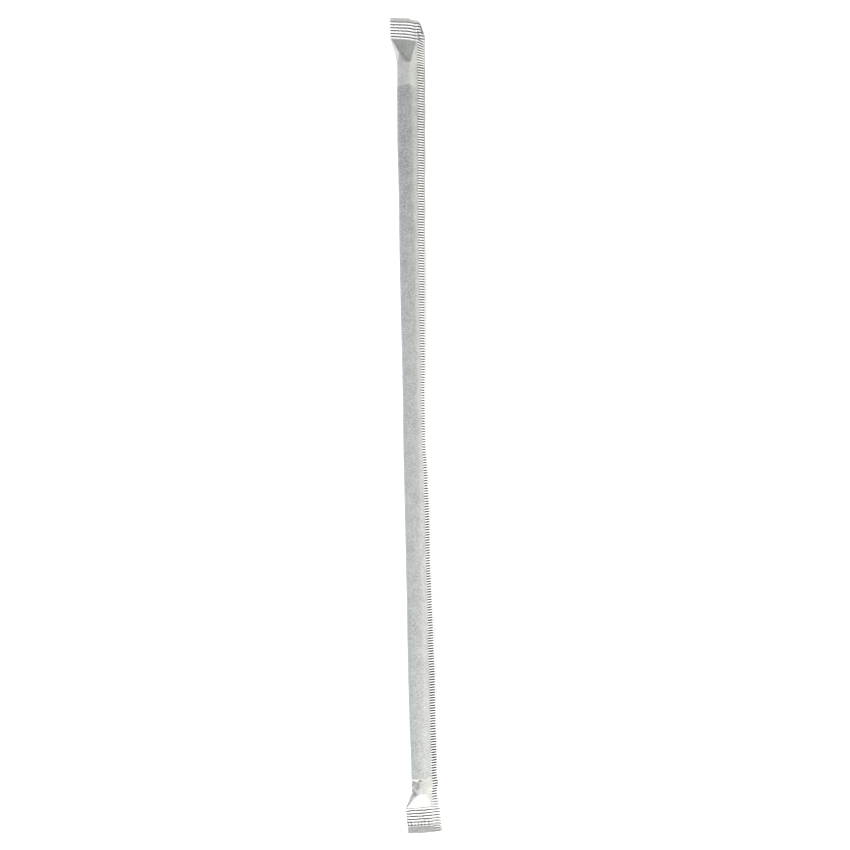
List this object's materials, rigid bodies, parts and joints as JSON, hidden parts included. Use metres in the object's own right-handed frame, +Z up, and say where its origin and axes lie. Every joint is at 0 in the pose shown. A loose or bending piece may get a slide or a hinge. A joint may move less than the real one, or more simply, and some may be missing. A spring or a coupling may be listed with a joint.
{
  "type": "wrapped drinking straw",
  "caption": "Plain drinking straw sealed in a thin white paper sleeve, with a crimped fin along one side and both ends crimped flat.",
  "frame": {"origin": "on the surface that the object lies on, under the middle of its bounding box", "axes": "+Y along the straw, towards the end with the longer empty stretch of sleeve; +X towards the crimped fin; +Z up from the surface it lies on"},
  "size_m": [0.0124, 0.2824, 0.0053],
  "materials": {
    "wrapper_paper": "thin glazed white paper",
    "straw_plastic": "smooth white polypropylene"
  },
  "bodies": {
    "root": {"wrapper": "wrapper_paper", "straw": "straw_plastic"}
  },
  "joints": []
}
